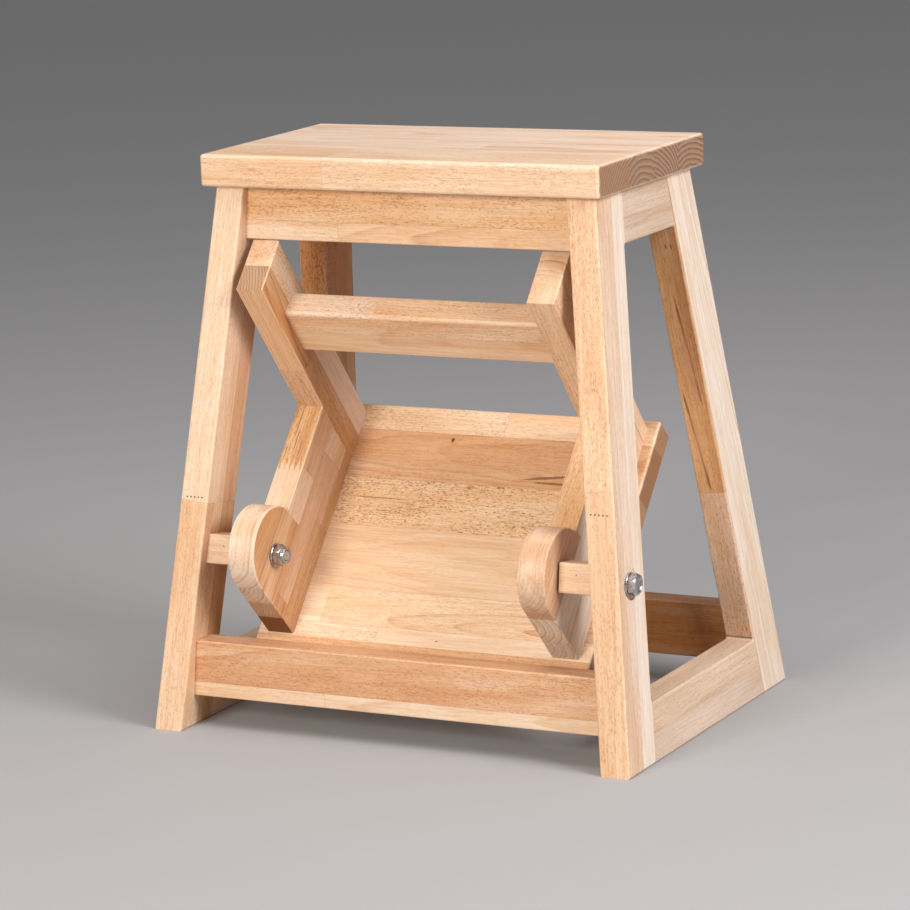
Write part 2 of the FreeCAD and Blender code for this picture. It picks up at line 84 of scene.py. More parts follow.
class Nodes:
    """Short calls for building a node tree."""

    def __init__(self, tree):
        self.tree = tree
        self.made = 0

    def add(self, kind, values=(), **props):
        node = self.tree.nodes.new(kind)
        node.location = (-200 * (self.made % 12), -220 * (self.made // 12))
        self.made += 1
        for key, value in props.items():
            setattr(node, key, value)
        for key, value in dict(values).items():
            self.put(node.inputs[key], value)
        return node

    def put(self, socket, value):
        if isinstance(value, bpy.types.NodeSocket):
            self.tree.links.new(value, socket)
        else:
            socket.default_value = value

    def calc(self, operation, a, b=0.0, c=0.0, clamp=False):
        node = self.add("ShaderNodeMath", operation=operation, use_clamp=clamp)
        for socket, value in zip(node.inputs, (a, b, c)):
            self.put(socket, value)
        return node.outputs[0]

    def mul(self, a, b):
        return self.calc("MULTIPLY", a, b)

    def plus(self, a, b):
        return self.calc("ADD", a, b)

    def minus(self, a, b):
        return self.calc("SUBTRACT", a, b)

    def step(self, value, low, high):
        """0 below low, 1 above high, smooth between; swap them for the reverse."""
        flipped = low > high
        node = self.add("ShaderNodeMapRange", interpolation_type="SMOOTHSTEP")
        self.put(node.inputs["Value"], value)
        self.put(node.inputs["From Min"], min(low, high))
        self.put(node.inputs["From Max"], max(low, high))
        self.put(node.inputs["To Min"], 1.0 if flipped else 0.0)
        self.put(node.inputs["To Max"], 0.0 if flipped else 1.0)
        return node.outputs["Result"]

    def span(self, value, low, high, to_low, to_high):
        node = self.add("ShaderNodeMapRange")
        for key, item in (("Value", value), ("From Min", low), ("From Max", high),
                          ("To Min", to_low), ("To Max", to_high)):
            self.put(node.inputs[key], item)
        return node.outputs["Result"]

    def vector(self, operation, a, b=(0, 0, 0)):
        node = self.add("ShaderNodeVectorMath", operation=operation)
        self.put(node.inputs[0], a)
        self.put(node.inputs[1], b)
        return node.outputs["Value" if operation in ("LENGTH", "DOT_PRODUCT") else "Vector"]

    def parts(self, vector):
        return self.add("ShaderNodeSeparateXYZ", {0: vector}).outputs

    def join(self, x, y, z):
        return self.add("ShaderNodeCombineXYZ", {0: x, 1: y, 2: z}).outputs[0]

    def noise(self, vector, scale=1.0, detail=2.0, rough=0.5, distort=0.0):
        node = self.add("ShaderNodeTexNoise", {
            "Vector": vector, "Scale": scale, "Detail": detail, "Roughness": rough,
            "Distortion": distort})
        return node.outputs["Fac"]

    def mix(self, factor, a, b, kind="MIX"):
        node = self.add("ShaderNodeMix", data_type="RGBA", blend_type=kind)
        self.put(node.inputs[0], factor)
        for socket, value in ((node.inputs[6], a), (node.inputs[7], b)):
            self.put(socket, (*value, 1.0) if isinstance(value, tuple) and len(value) == 3
                     else value)
        return node.outputs[2]

    def attribute(self, name):
        return self.add("ShaderNodeAttribute", attribute_name=name)


def new_material(name):
    material = bpy.data.materials.new(name)
    material.use_nodes = True
    material.node_tree.nodes.clear()
    n = Nodes(material.node_tree)
    output = n.add("ShaderNodeOutputMaterial")
    shader = n.add("ShaderNodeBsdfPrincipled")
    material.node_tree.links.new(shader.outputs[0], output.inputs[0])
    return material, n, shader


# --------------------------------------------------------------------------
# Beech
# --------------------------------------------------------------------------

RING_WIDTH = 0.0027

# what the stave's tone is multiplied by, or turned towards, in each part of the figure
DARK_DRIFT, PALE_DRIFT = (0.90, 0.74, 0.58), (0.90, 0.76, 0.64)
RING_TINT, FIBRE_TINT, HEART_TINT = (0.74, 0.53, 0.37), (0.84, 0.70, 0.55), (0.66, 0.40, 0.22)
FLECK_TINT, PORE_TINT, GLUE_TINT = (0.80, 0.64, 0.49), (0.55, 0.36, 0.22), (0.62, 0.45, 0.33)
END_RING_TINT, END_RAY, END_PORE_TINT = (0.27, 0.17, 0.11), (0.72, 0.52, 0.36), (0.55, 0.42, 0.32)
# WORN_EDGE_AND_SHEEN: the pale of sanded edges together with a painted highlight along rounded
# edges
END_TINT, WORN_EDGE_AND_SHEEN = (0.50, 0.39, 0.31), (0.92, 0.76, 0.58)

MARK_COLOURS = {
    "streak": (0.26, 0.115, 0.045),
    "halo": (0.60, 0.30, 0.15),
    "core": (0.07, 0.032, 0.015),
    "dot": (0.09, 0.05, 0.03),
    "band": (0.62, 0.36, 0.20),
}


def add_marks(n, colour, height, marks):
    """Knots, heart streaks and pits: (kind, middle mm, direction, half length, half width)."""
    place = n.add("ShaderNodeTexCoord").outputs["Object"]
    wobble = n.noise(place, 190.0, 3.0, 0.6)
    for kind, middle, direction, half_length, half_width in marks:
        line = Vector(direction).normalized()
        away = n.vector("SUBTRACT", place, Vector(middle) * MM)
        run = n.vector("DOT_PRODUCT", away, line)
        side = n.vector("SUBTRACT", away, n.vector("MULTIPLY", n.join(run, run, run), line))
        wide = n.calc("DIVIDE", n.vector("LENGTH", side), half_width * MM)
        long = n.calc("DIVIDE", run, half_length * MM)
        reach = n.calc("SQRT", n.plus(n.mul(wide, wide), n.mul(long, long)))
        ragged = 0.0 if kind == "dot" else 0.9
        reach = n.plus(reach, n.mul(n.minus(wobble, 0.5), ragged))
        soft = 0.0 if kind in ("halo", "band") else 0.55
        mask = n.step(reach, 1.0, soft)
        strength = {"halo": 0.7, "band": 0.5}.get(kind, 0.92)
        colour = n.mix(n.mul(mask, strength), colour, MARK_COLOURS[kind])
        if kind in ("core", "dot", "streak"):
            height = n.minus(height, mask)
    return colour, height


def beech(name, marks=()):
    """Beech in its stave's own coordinates.

    wood: metres along the grain, and across and through it from the pith.
    tone: the stave's colour, and its ring width.   figure: flecks, rings, heart streaks.
    finish: end grain, rounded edge, seed.   seam: metres to the stave's four sides.
    """
    material, n, shader = new_material(name)
    wood = n.attribute("wood").outputs["Vector"]
    tone_node = n.attribute("tone")
    tone = tone_node.outputs["Color"]
    flecks, rings, streaks = n.parts(n.attribute("figure").outputs["Vector"])
    end, edge, seed = n.parts(n.attribute("finish").outputs["Vector"])
    seam_node = n.attribute("seam")
    along, across, through = n.parts(wood)
    shift = n.mul(seed, 7.3)

    def grain(stretch, width, detail, rough, distort=0.0):
        """Noise drawn out along the grain; both scales are per metre."""
        vector = n.join(n.plus(n.mul(along, stretch), shift), n.mul(across, width),
                        n.mul(through, width))
        return n.noise(vector, 1.0, detail, rough, distort)

    # growth rings round the pith, a little wavy along the stem
    warp = n.plus(grain(5.0, 22.0, 2.0, 0.5), n.mul(grain(28.0, 120.0, 2.0, 0.5), 0.16))
    radius = n.vector("LENGTH", n.join(0.0, across, through))
    width = n.mul(tone_node.outputs["Alpha"], RING_WIDTH)
    turns = n.calc("DIVIDE", n.plus(radius, n.mul(n.minus(warp, 0.58), 0.008)), width)
    phase = n.calc("FRACT", turns)
    ring_id = n.calc("FLOOR", turns)
    late = n.mul(n.calc("POWER", phase, 4.0), n.step(phase, 1.0, 0.90))
    one_ring = n.add("ShaderNodeTexWhiteNoise", {"W": n.plus(ring_id, shift)},
                     noise_dimensions="1D").outputs["Value"]
    ring_line = n.mul(late, n.span(one_ring, 0.0, 1.0, 0.4, 1.5))
    ring_band = n.mul(n.minus(one_ring, 0.4), 0.35)

    # fibres long and thin, short wavy ray flecks, and sparse dark pores
    fibre = grain(16.0, 640.0, 3.0, 0.65)
    ripple = grain(150.0, 760.0, 2.0, 0.55, 0.5)
    patch = grain(14.0, 60.0, 2.0, 0.5)
    pore_dash = grain(330.0, 1000.0, 1.0, 0.4)
    fleck_mask = n.mul(n.mul(n.step(ripple, 0.50, 0.62), n.span(patch, 0.35, 0.65, 0.55, 1.1)),
                       n.minus(1.0, end))
    pore_cut = n.span(patch, 0.3, 0.7, 0.65, 0.55)
    pore_mask = n.calc("DIVIDE", n.minus(pore_dash, pore_cut), 0.07, clamp=True)
    pore_mask = n.mul(pore_mask, n.minus(1.0, end))
    pore_share = n.calc("MULTIPLY", n.minus(flecks, 0.25), 1.25, clamp=True)

    # slow changes of tone, and the brown heart in some staves
    drift = grain(4.5, 38.0, 3.0, 0.6)
    heart = grain(2.6, 60.0, 4.0, 0.65, 0.5)
    heart_mask = n.mul(n.step(heart, 0.48, 0.70), streaks)

    colour = n.mix(n.mul(n.step(drift, 0.46, 0.70), 0.55), tone, DARK_DRIFT, "MULTIPLY")
    colour = n.mix(n.mul(n.step(drift, 0.54, 0.28), 0.30), colour, PALE_DRIFT)
    shade = n.mul(n.plus(ring_line, ring_band), rings)
    colour = n.mix(n.mul(shade, 0.85), colour, RING_TINT, "MULTIPLY")
    colour = n.mix(n.mul(n.step(fibre, 0.38, 0.64), 0.50), colour, FIBRE_TINT, "MULTIPLY")
    colour = n.mix(n.mul(heart_mask, 0.80), colour, HEART_TINT, "MULTIPLY")
    colour = n.mix(n.mul(fleck_mask, n.plus(n.mul(flecks, 0.75), 0.12)), colour,
                   FLECK_TINT, "MULTIPLY")
    colour = n.mix(n.mul(pore_mask, pore_share), colour, PORE_TINT, "MULTIPLY")

    # end grain: darker, with bold rings, fine radial rays and open pores
    angle = n.calc("ARCTAN2", across, through)
    ray = n.noise(n.join(n.mul(angle, 95.0), n.mul(radius, 30.0), shift), 1.0, 2.0)
    pore = grain(60.0, 1300.0, 1.0, 0.5)
    end_colour = n.mix(n.mul(n.calc("POWER", phase, 1.6), n.plus(n.mul(rings, 0.5), 0.5)), tone,
                       END_RING_TINT, "MULTIPLY")
    end_colour = n.mix(n.mul(n.step(ray, 0.5, 0.66), 0.22), end_colour, END_RAY)
    end_colour = n.mix(n.mul(n.step(pore, 0.5, 0.7), 0.35), end_colour, END_PORE_TINT, "MULTIPLY")
    end_colour = n.mix(1.0, end_colour, END_TINT, "MULTIPLY")
    colour = n.mix(end, colour, end_colour)

    # glue lines between staves; rounded edges painted paler, partly sanding wear and partly a
    # painted highlight for the sheen along them
    sides = n.parts(seam_node.outputs["Vector"])
    near = n.calc("MINIMUM", sides[0], sides[1])
    near = n.calc("MINIMUM", near, sides[2])
    near = n.calc("MINIMUM", near, seam_node.outputs["Alpha"])
    glue = n.step(near, 0.00055, 0.00010)
    colour = n.mix(n.mul(glue, 0.30), colour, GLUE_TINT, "MULTIPLY")
    scuff_and_sheen = grain(45.0, 160.0, 3.0, 0.5)
    colour = n.mix(n.mul(edge, n.span(scuff_and_sheen, 0.35, 0.65, 0.04, 0.22)), colour, WORN_EDGE_AND_SHEEN)

    rough = n.plus(n.span(fibre, 0.3, 0.7, 0.42, 0.54), n.mul(fleck_mask, 0.06))
    rough = n.plus(rough, n.mul(end, 0.16))
    rough = n.minus(rough, n.mul(edge, 0.05))
    height = n.plus(n.mul(fibre, 0.40), n.mul(pore_mask, -0.6))
    height = n.minus(height, n.mul(fleck_mask, 0.25))
    height = n.minus(height, n.mul(ring_line, 0.18))
    height = n.minus(height, n.mul(glue, 0.5))
    height = n.minus(height, n.mul(n.mul(pore, end), 0.8))
    colour, height = add_marks(n, colour, height, marks)
    bump = n.add("ShaderNodeBump", {"Height": height, "Strength": 0.40, "Distance": 0.00035})

    n.put(shader.inputs["Base Color"], colour)
    n.put(shader.inputs["Roughness"], rough)
    n.put(shader.inputs["Normal"], bump.outputs[0])
    shader.inputs["Specular IOR Level"].default_value = 0.42
    shader.inputs["Coat Weight"].default_value = 0.10
    shader.inputs["Coat Roughness"].default_value = 0.35
    return material


BEECH = {slot: beech(slot + "_wood") for slot in
         ("seat_beech", "frame_beech", "step_beech", "tread_beech", "dowel_beech")}

# tone, flecks, rings, heart streaks
LOOKS = {
    "cream": ((0.78, 0.560, 0.375), 0.35, 0.30, 0.05),
    "pale": ((0.80, 0.600, 0.425), 0.22, 0.25, 0.03),
    "peach": ((0.77, 0.520, 0.325), 0.30, 0.40, 0.12),
    "brown": ((0.68, 0.395, 0.215), 0.55, 0.60, 0.55),
    "orange": ((0.74, 0.445, 0.215), 0.55, 0.45, 0.30),
    "tan": ((0.70, 0.455, 0.285), 0.40, 0.45, 0.25),
    "dense": ((0.77, 0.530, 0.335), 1.00, 0.30, 0.15),
    "white": ((0.82, 0.700, 0.580), 0.20, 0.30, 0.03),
    "rose": ((0.78, 0.590, 0.440), 0.25, 0.35, 0.06),
    # amber: a deep tone darkened to paint the shade on the rear rail and the left rear leg
    "amber": ((0.58, 0.255, 0.075), 0.50, 0.50, 0.40),
    # honey: a darker tone; on broad side faces it is painted shade
    "honey": ((0.62, 0.350, 0.160), 0.35, 0.45, 0.20),
}


class Fingers:
    """A finger joint: its middle along the grain, the fingers' length, and their edges."""

    def __init__(self, middle, length, start, stop, count):
        self.middle, self.length = middle, length
        self.start, self.stop, self.count = start, stop, count

    def knots(self):
        return [self.start + (self.stop - self.start) * k / (2 * self.count)
                for k in range(2 * self.count + 1)]

    def at(self, through):
        """Where the joint is along the grain, in mm, at a place through the piece."""
        step = (self.stop - self.start) / (2 * self.count)
        k = min(max((through - self.start) / step, 0.0), 2.0 * self.count)
        wave = abs((k % 2.0) - 1.0)
        return self.middle + self.length * (wave - 0.5)


class Stave:
    """One glued strip: its look, where the tree's pith was, and how far it leans."""

    def __init__(self, look, pith=None, lean=None, **more):
        self.tone, self.flecks, self.rings, self.streaks = LOOKS[look]
        self.flecks = more.get("flecks", self.flecks)
        self.rings = more.get("rings", self.rings)
        self.streaks = more.get("streaks", self.streaks)
        self.end = more.get("end", 1.0)
        self.width = more.get("width", 1.0)
        # broad side faces can take a darker look: painted shade on a side out of the light
        self.flat = LOOKS[more.get("flat", look)][0]
        self.pith = pith
        self.lean = lean


END = 1e4                # further than any piece reaches, in mm
SLACK = 1e-6             # metres
SEAM_GAP = 1e-5          # metres; a limit this near the piece's outside is no seam
TONE_JITTER = 0.025
SEED_SHIFT = 3.0         # metres along the grain
SIDE_ON = 0.9            # how squarely a face looks through the piece, to count as its flat side, which takes the stave's painted-shade look
END_GRAIN_FROM, END_GRAIN_RUN = 0.72, 0.2
ROUNDED_BELOW, ROUNDED_RUN = 0.995, 0.03
BROAD_SHARE = 0.012      # of the piece's area
PITH_ASIDE, PITH_NEAREST, PITH_FURTHEST = 40, 45, 110        # mm from the stave's middle
LEAN_ASIDE, LEAN_THROUGH = 0.03, 0.02                        # slope of the pith to the stave
MERGE = 2e-6             # metres; corners nearer than this become one
FLAT_ANGLE, SMOOTH_ANGLE = 0.4, 38                           # degrees


def within(limit, through):
    """A stave's limit along the grain in metres, at a place through the piece in metres."""
    return limit.at(through / MM) * MM if isinstance(limit, Fingers) else limit


def cut_into_staves(shape, origin, axes, strips):
    """Cuts every face where two staves meet."""
    along, across, through = axes

    def place(face):
        q = face.calc_center_median() - origin
        return q.dot(along) / MM, q.dot(across) / MM, q.dot(through) / MM

    def cut(faces, point, normal):
        geometry = set(faces)
        for face in faces:
            geometry.update(face.edges)
            geometry.update(face.verts)
        bmesh.ops.bisect_plane(shape, geom=list(geometry), dist=1e-6,
                               plane_co=origin + point * MM, plane_no=normal)

    def in_strip(low, top):
        return [f for f in shape.faces if low < place(f)[1] < top]

    def cut_fingers(low, top, fingers):
        """Cuts the zigzag of a finger joint; its flanks slope across the thickness."""
        knots = fingers.knots()
        for d in knots:
            cut(in_strip(low, top), through * d, through)
        for d0, d1 in zip(knots, knots[1:]):
            flank = [f for f in in_strip(low, top) if d0 < place(f)[2] < d1]
            rise = fingers.at(d1) - fingers.at(d0)
            cut(flank, along * fingers.at(d0) + through * d0,
                (along * (d1 - d0) - through * rise).normalized())

    for high, _ in strips:
        if high is not None:
            cut(shape.faces[:], across * high, across)
    low = -END
    for high, staves in strips:
        top = END if high is None else high
        for far, _ in staves:
            if isinstance(far, Fingers):
                cut_fingers(low, top, far)
            elif far is not None:
                cut(in_strip(low, top), along * far, along)
        low = top


def stave_cells(strips, low_all, high_all):
    """Each stave with its limits in metres: across, then along."""
    cells = []
    low = low_all[1]
    for high, staves in strips:
        top = high_all[1] if high is None else high * MM
        start = low_all[0]
        for far, stave in staves:
            if isinstance(far, Fingers):
                stop = far
            else:
                stop = high_all[0] if far is None else far * MM
            cells.append((low, top, start, stop, stave))
            start = stop
        low = top
    return cells


def broad_normals(mesh):
    """The directions of the faces that aren't part of a rounded edge."""
    areas = {}
    for face in mesh.polygons:
        key = tuple(round(x, 2) for x in face.normal)
        areas[key] = areas.get(key, 0.0) + face.area
    least = BROAD_SHARE * sum(areas.values())
    broad = [np.array(key) for key, area in areas.items() if area > least]
    return [normal / np.linalg.norm(normal) for normal in broad]


def paint_staves(mesh, origin, axes, strips, tint):
    """Writes each stave's coordinates, tone and figure on its faces' corners."""
    loops = len(mesh.loops)
    wood, figure, finish = np.zeros((loops, 3)), np.zeros((loops, 3)), np.zeros((loops, 3))
    tone, seam = np.ones((loops, 4)), np.full((loops, 4), 1.0)
    local = (np.array([v.co for v in mesh.vertices]) - origin) @ axes.T
    low_all, high_all = local.min(0), local.max(0)
    broad = broad_normals(mesh)

    for c0, c1, a0, a1, stave in stave_cells(strips, low_all, high_all):
        middle = np.array([0.0, (c0 + c1) / 2, (low_all[2] + high_all[2]) / 2])
        random_pith = (draw.uniform(-PITH_ASIDE, PITH_ASIDE),
                       -draw.uniform(PITH_NEAREST, PITH_FURTHEST))
        random_lean = (draw.uniform(-LEAN_ASIDE, LEAN_ASIDE),
                       draw.uniform(-LEAN_THROUGH, LEAN_THROUGH))
        pith = np.array(stave.pith or random_pith) * MM
        lean = np.array(stave.lean or random_lean)
        seed = draw.uniform(0, 1)
        jitter = 1.0 + draw.uniform(-TONE_JITTER, TONE_JITTER)
        limits = ((1, c0, 1, low_all[1]), (1, c1, -1, high_all[1]),
                  (0, a0, 1, low_all[0]), (0, a1, -1, high_all[0]))
        for face in mesh.polygons:
            centre = (np.array(face.center) - origin) @ axes.T
            first, last = within(a0, centre[2]), within(a1, centre[2])
            if not (c0 - SLACK <= centre[1] <= c1 + SLACK
                    and first - SLACK <= centre[0] <= last + SLACK):
                continue
            where = list(face.loop_indices)
            p = local[list(face.vertices)]
            normal = np.array(face.normal)
            wood[where, 0] = p[:, 0] + seed * SEED_SHIFT
            wood[where, 1] = p[:, 1] - middle[1] - pith[0] - lean[0] * p[:, 0]
            wood[where, 2] = p[:, 2] - middle[2] - pith[1] - lean[1] * p[:, 0]
            side_on = abs(float(normal @ axes[2])) > SIDE_ON
            # broad side faces take the stave's shaded-side look: painted shade
            tone[where, 0:3] = np.array(stave.flat if side_on else stave.tone) * tint * jitter
            tone[where, 3] = stave.width
            figure[where] = (stave.flecks, stave.rings, stave.streaks)
            facing = abs(float(normal @ axes[0]))
            finish[where, 0] = ramp(facing, END_GRAIN_FROM, END_GRAIN_RUN) * stave.end
            nearest = max(float(normal @ m) for m in broad)
            finish[where, 1] = ramp(-nearest, -ROUNDED_BELOW, ROUNDED_RUN)
            finish[where, 2] = seed
            for column, (axis, limit, sign, outer) in enumerate(limits):
                if not isinstance(limit, Fingers) and abs(limit - outer) > SEAM_GAP:
                    seam[where, column] = (p[:, axis] - limit) * sign

    for name, kind, values in (("wood", "FLOAT_VECTOR", wood), ("figure", "FLOAT_VECTOR", figure),
                               ("finish", "FLOAT_VECTOR", finish), ("tone", "FLOAT_COLOR", tone),
                               ("seam", "FLOAT_COLOR", seam)):
        layer = mesh.attributes.new(name, kind, "CORNER")
        layer.data.foreach_set("color" if kind == "FLOAT_COLOR" else "vector",
                               values.astype(np.float32).ravel())


def ramp(value, start, run):
    """0 at start, rising to 1 over the run."""
    return min(max((value - start) / run, 0.0), 1.0)


def wooden(node, slot, origin, along, across, strips, marks=(), tint=1.0):
    """A wooden piece cut into its staves, on the shape of a CAD node.

    strips: [(far edge across in mm or None, [(far end along in mm or None, Stave)])].
    """
    source = frame["nodes"][node]
    origin = Vector(origin) * MM
    along = Vector(along).normalized()
    across = Vector(across)
    across = (across - along * across.dot(along)).normalized()
    axes = (along, across, along.cross(across))
    mesh = source.data.copy()
    mesh.name = node + "_mesh"

    shape = bmesh.new()
    shape.from_mesh(mesh)
    for layer in list(shape.loops.layers.float_vector.values()):
        shape.loops.layers.float_vector.remove(layer)
    bmesh.ops.remove_doubles(shape, verts=shape.verts, dist=MERGE)
    bmesh.ops.dissolve_limit(shape, angle_limit=math.radians(FLAT_ANGLE), verts=shape.verts,
                             edges=shape.edges, use_dissolve_boundaries=False)
    cut_into_staves(shape, origin, axes, strips)
    shape.normal_update()
    shape.to_mesh(mesh)
    shape.free()

    paint_staves(mesh, np.array(origin), np.array(axes), strips, tint)
    if mesh.attributes.get("custom_normal"):
        mesh.attributes.remove(mesh.attributes["custom_normal"])
    smooth_by_angle(mesh, SMOOTH_ANGLE)
    mesh.materials.clear()
    mesh.materials.append(beech(node + "_wood", marks) if marks else BEECH[slot])
    piece = link(bpy.data.objects.new(node + "_wood", mesh))
    weighted(piece)
    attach(piece, source["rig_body"])
    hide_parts(node)


S = Stave
X, Y, Z = (1, 0, 0), (0, 1, 0), (0, 0, 1)

# the seat: four staves from front to back
wooden("seat_board", "seat_beech", (0, -106.5, 472), X, Y, [
    (60, [(-70, S("peach", (62, -52), (0.012, 0.01), flecks=0.5, width=1.4)),
          (None, S("cream", (62, -52), (0.012, 0.01), flecks=0.5, width=1.4))]),
    (109, [(40, S("rose", (2, -34), (0.0, 0.012), rings=0.5, width=2.1)),
           (None, S("rose", (2, -34), (0.0, -0.012), rings=0.5, width=2.1))]),
    (158, [(-20, S("rose", (-20, -48), (0.01, 0.02), rings=0.7, width=1.5)),
           (None, S("rose", (-32, -40), (0.01, 0.02), rings=0.8, width=1.5))]),
    (None, [(None, S("rose", (-6, -80), (0.01, 0.01), rings=0.7, width=1.7))]),
], [("dot", (190, -96, 474), Y, 0.9, 0.9),
    ("band", (-70, -70, 500), X, 90, 14), ("band", (22, -27, 500), X, 38, 7),
    ("band", (-87, -60, 500), X, 30, 5), ("band", (-60, 20, 500), X, 70, 8),
    ("band", (110, 60, 500), X, 60, 9)])

# rails across the stool
wooden("front_apron", "frame_beech", (0, -88, 425), X, Z, [
    (17, [(-67, S("cream", flecks=0.5)),
          (None, S("peach", (-6, -19), (0.03, 0.055), rings=1.0, width=1.6))]),
    (None, [(None, S("orange", (5, -120), (0.0, 0.01), flecks=0.75, streaks=0.05))]),
])
wooden("rear_apron", "frame_beech", (0, 88, 425), X, Z, [
    (22, [(40, S("peach")), (None, S("cream"))]),
    (None, [(-60, S("cream", flecks=0.5)), (None, S("peach"))]),
])
wooden("front_bottom_rail", "frame_beech", (0, -146.5, 28), X, Z, [
    (13, [(-68, S("cream")), (None, S("pale", (0, -18), (0.0, 0.03), rings=0.6))]),
    (None, [(None, S("brown", (0, -70), (0.01, 0.012), flecks=0.6, streaks=0.25))]),
])
# the rear rail's amber is painted shade, where the board keeps the light off it
wooden("rear_bottom_rail", "frame_beech", (0, 146.5, 26), X, Z, [
    (None, [(None, S("amber", (0, -60), (0.01, 0.01)))]),
])

# side frames
SPLAY = math.radians(5.9)
FLOOR_X, FLOOR_Y, TOP_Y, FRAME_TOP = 229.7, 167.0, 95.0, 472.0
TOP_X = FLOOR_X - FRAME_TOP * math.tan(SPLAY)
LEG_STAVES = {
    "right_front_leg": [(2.5, [(238, S("peach", (-60, 4), flecks=0.5)),
                               (None, S("peach", (-70, 10), flecks=0.6))]),
                        (28, [(None, S("rose", flecks=0.4))]),
                        (None, [(None, S("white", (60, -20)))])],
    "left_front_leg": [(27, [(205, S("peach", flecks=0.5)), (None, S("cream", flecks=0.4))]),
                       (None, [(205, S("honey")), (None, S("tan", streaks=0.5))])],
    "right_rear_leg": [(27, [(None, S("white", (-30, -24), (0.04, 0.02), rings=0.7))]),
                       (48.6, [(None, S("white", rings=0.5))]),
                       (None, [(198, S("tan", flecks=0.7)), (None, S("orange", streaks=0.35))])],
    # the left rear leg's amber is painted shade under the seat and apron
    "left_rear_leg": [(27, [(None, S("amber"))]),
                      (None, [(None, S("amber", flecks=0.9))])],
}
RAKE = (TOP_Y - FLOOR_Y) / FRAME_TOP
REAR_LEG_LINE = (-math.tan(SPLAY), RAKE, 1.0)
LEG_WIDTH = 50.5
DOT_SPACING = 3.7


def on_opening_face(height, inset):
    """A spot on the right rear leg's face towards the opening, so far in from its outer face."""
    return (FLOOR_X - height * math.tan(SPLAY) - inset, FLOOR_Y + RAKE * height - LEG_WIDTH,
            height)


def heart_streak(top, bottom, inset_top, inset_bottom, width):
    """A dark line down the leg, made of four streaks that overlap."""
    direction = (Vector(on_opening_face(bottom, inset_bottom))
                 - Vector(on_opening_face(top, inset_top)))
    run = []
    for k in range(4):
        share = (k + 0.5) / 4
        spot = on_opening_face(top + (bottom - top) * share,
                               inset_top + (inset_bottom - inset_top) * share)
        run.append(("streak", spot, tuple(direction), direction.length / 5, width))
    return run


def finger_dots(sx, height):
    """The five tips of a finger joint, in a row across a front leg."""
    middle = FLOOR_X - height * math.tan(SPLAY) - 14
    face = -(FLOOR_Y + RAKE * height)
    return [("dot", (sx * (middle + DOT_SPACING * k), face, height), X, 1.05, 1.05)
            for k in range(-2, 3)]


LEG_MARKS = {
    "right_front_leg": finger_dots(1, 214),
    "left_front_leg": finger_dots(-1, 204),
    "right_rear_leg": (
        heart_streak(360, 270, 14, 7, 1.7) + heart_streak(275, 190, 23, 14, 1.6)
        + [("halo", on_opening_face(300, 11), REAR_LEG_LINE, 62, 6.5),
           ("halo", on_opening_face(232, 18), REAR_LEG_LINE, 45, 6.0)]
        + [("core", on_opening_face(408, inset), REAR_LEG_LINE, 4.0, 1.0) for inset in (13, 8)]),
}
for side, sx in (("left", -1), ("right", 1)):
    up_side = (-sx * math.sin(SPLAY), 0, math.cos(SPLAY))
    for end_name, sy in (("front", -1), ("rear", 1)):
        foot = Vector((sx * FLOOR_X, sy * FLOOR_Y, 0))
        top = Vector((sx * TOP_X, sy * TOP_Y, FRAME_TOP))
        leg = f"{side}_{end_name}_leg"
        wooden(leg, "frame_beech", foot, top - foot, (0, -sy, 0), LEG_STAVES[leg],
               LEG_MARKS.get(leg, ()))
    wooden(f"{side}_top_rail", "frame_beech", (sx * TOP_X, 0, FRAME_TOP), Y, up_side, [
        (-24, [(None, S("rose"))]), (None, [(None, S("rose", flecks=0.4))])], tint=0.80)
    wooden(f"{side}_bottom_rail", "frame_beech", (sx * FLOOR_X, 0, 0), Y, up_side, [
        (26, [(None, S("rose"))]), (None, [(None, S("cream"))])],
        [("dot", (sx * 224, y, z), Z, 0.7, 0.7)
         for y, z in ((-105, 50), (104, 50), (101, 44))], tint=0.86)
    wooden(f"{side}_pivot_block", "frame_beech", (0, -133, 143), X, Z, [
        (13, [(None, S("cream"))]), (None, [(None, S("peach"))])],
        [("dot", (sx * 170, -132, 161), X, 0.9, 0.9)])

# the step unit
PIVOT = Vector((0, -120, 154))
TILT = math.radians(48.5)
UP_BOARD = Vector((0, math.cos(TILT), math.sin(TILT)))
OFF_BOARD = Vector((0, -math.sin(TILT), math.cos(TILT)))
ARM_UP, ARM_OFF = 38.5, 223.5        # mm the step legs run up the board and off it
ARM = (UP_BOARD * ARM_UP + OFF_BOARD * ARM_OFF).normalized()
ARM_ACROSS = (OFF_BOARD * ARM_UP - UP_BOARD * ARM_OFF).normalized()
ARM_REAR = PIVOT + UP_BOARD * 224.5 + OFF_BOARD * 154
BOARD_MIDDLE, BOARD_FACE = -82, -69.5
BRACKET_FRONT = 2.5
BRACKET_X = 139
STRETCHER_TOP = -43
# brightens the step board's tones: painted light, making up for lamp light the apron and stretcher
# keep off it
TREAD_PAINTED_LIGHT = np.array((1.13, 1.20, 1.24))


def on_step(x, s, n):
    return tuple(PIVOT + UP_BOARD * s + OFF_BOARD * n + Vector((x, 0, 0)))


